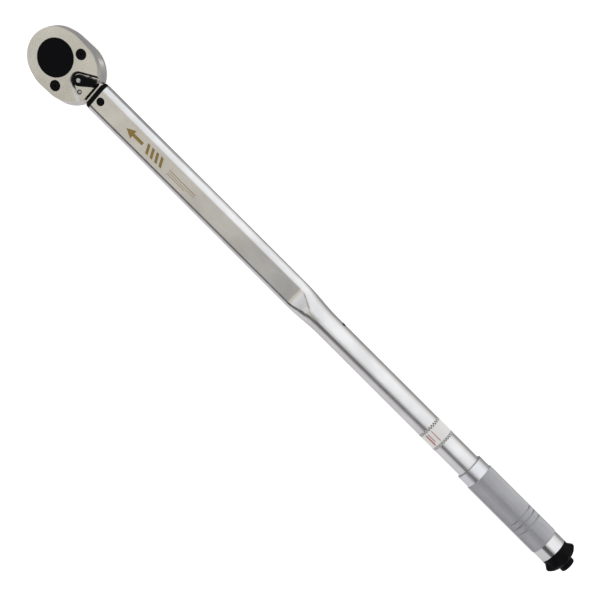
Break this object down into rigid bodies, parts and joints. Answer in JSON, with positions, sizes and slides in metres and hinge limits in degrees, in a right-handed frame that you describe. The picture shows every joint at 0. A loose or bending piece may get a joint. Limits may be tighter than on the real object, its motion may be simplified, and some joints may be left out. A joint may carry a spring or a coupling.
{
  "type": "torque wrench",
  "caption": "Click-type torque wrench with a reversible ratchet head, square drive, long steel tube flattened at the front, knurled setting handle and black lock knob.",
  "frame": {"origin": "on the axis of the square drive, in the plane of the shoulder that a socket's end rests on, where the square begins; the tube's axis is 21.5 mm above it", "axes": "+X along the tube towards the handle, +Z out of the cover plate and lever face, so the square drive points along -Z; +Y completes the right-handed frame"},
  "size_m": [0.8484, 0.0746, 0.0659],
  "materials": {
    "satin_chrome": "satin",
    "tube_chrome": "satin",
    "bright_chrome": "polished",
    "knurled_chrome": "knurled, satin",
    "black_steel": "black oxide",
    "steel": "machined",
    "spring_steel": "oiled",
    "hardened_steel": "ground",
    "black_plastic": "matt",
    "black_rubber": "matt",
    "label_film": "printed film"
  },
  "bodies": {
    "tube": {"tube": "tube_chrome", "pivot_pin": "black_steel", "tube_seal": "black_rubber", "side_set_screw": "black_steel", "tube_nut": "steel", "nut_pins": "hardened_steel", "scale_label": "label_film", "main_spring": "spring_steel"},
    "head": {"ratchet_head": "satin_chrome", "cover_plate": "satin_chrome", "cover_screws": "black_steel", "cover_dowels": "steel", "pawl_detent_spring": "spring_steel"},
    "drive": {"drive_gear": "black_steel", "socket_ball_spring": "spring_steel"},
    "socket_ball": {"socket_ball": "hardened_steel"},
    "lever": {"reversing_lever": "black_steel", "lever_shaft": "steel"},
    "pawl": {"pawl": "hardened_steel"},
    "pawl_detent": {"pawl_detent": "hardened_steel"},
    "plunger": {"plunger": "hardened_steel"},
    "tilt_block": {"tilt_block": "hardened_steel"},
    "spring_seat": {"spring_seat": "steel", "thrust_bearing": "hardened_steel"},
    "handle": {"adjusting_screw": "steel", "handle_sleeve": "knurled_chrome", "end_collar": "bright_chrome", "collar_nut": "steel"},
    "lock_wedge": {"lock_wedge": "hardened_steel"},
    "lock_knob": {"lock_knob": "black_plastic", "lock_screw": "steel", "knob_end_cap": "black_plastic"}
  },
  "joints": [
    {"name": "head_tilt", "type": "hinge", "parent": "tube", "child": "head", "pos_m": [0.0706, 0, 0], "axis": [0, 0, 1], "range_deg": [0, 0.6]},
    {"name": "gear_spin", "type": "hinge", "parent": "head", "child": "drive", "pos_m": [0, 0, 0], "axis": [0, 0, 1], "continuous": true},
    {"name": "socket_ball_press", "type": "slide", "parent": "drive", "child": "socket_ball", "axis": [1, 0, 0], "range_m": [-0.001, 0], "deforming": ["socket_ball_spring"]},
    {"name": "lever_swing", "type": "hinge", "parent": "head", "child": "lever", "pos_m": [0.0364, 0, 0], "axis": [0, 0, 1], "range_deg": [-66, 0]},
    {"name": "pawl_rock", "type": "hinge", "parent": "head", "child": "pawl", "pos_m": [0.0364, 0, 0], "axis": [0, 0, 1], "range_deg": [-16, 0]},
    {"name": "pawl_detent_slide", "type": "slide", "parent": "head", "child": "pawl_detent", "axis": [1, 0, 0], "range_m": [0, 0.0008], "deforming": ["pawl_detent_spring"]},
    {"name": "plunger_slide", "type": "slide", "parent": "tube", "child": "plunger", "axis": [1, 0, 0], "range_m": [0, 0.001], "deforming": ["main_spring"]},
    {"name": "block_tilt", "type": "hinge", "parent": "plunger", "child": "tilt_block", "pos_m": [0.4333, 0, 0], "axis": [0, 0, 1], "range_deg": [-21.7, 0]},
    {"name": "spring_seat_slide", "type": "slide", "parent": "tube", "child": "spring_seat", "axis": [1, 0, 0], "range_m": [-0.025, 0], "deforming": ["main_spring"]},
    {"name": "handle_turn", "type": "hinge", "parent": "spring_seat", "child": "handle", "pos_m": [0.7, 0, 0.0215], "axis": [1, 0, 0], "range_deg": [-3600, 0]},
    {"name": "knob_turn", "type": "hinge", "parent": "handle", "child": "lock_knob", "pos_m": [0.8, 0, 0.0215], "axis": [1, 0, 0], "range_deg": [0, 360]},
    {"name": "lock_wedge_slide", "type": "slide", "parent": "handle", "child": "lock_wedge", "axis": [1, 0, 0], "range_m": [0, 0.00125]}
  ],
  "couplings": [
    {"joint": "pawl_rock", "follows": "lever_swing", "ratio": 0.24242},
    {"joint": "plunger_slide", "follows": "head_tilt", "m_per_rad": 0.095493},
    {"joint": "block_tilt", "follows": "head_tilt", "ratio": -36.167},
    {"joint": "spring_seat_slide", "follows": "handle_turn", "m_per_rad": 0.00039789},
    {"joint": "lock_wedge_slide", "follows": "knob_turn", "m_per_rad": 0.00019894}
  ]
}
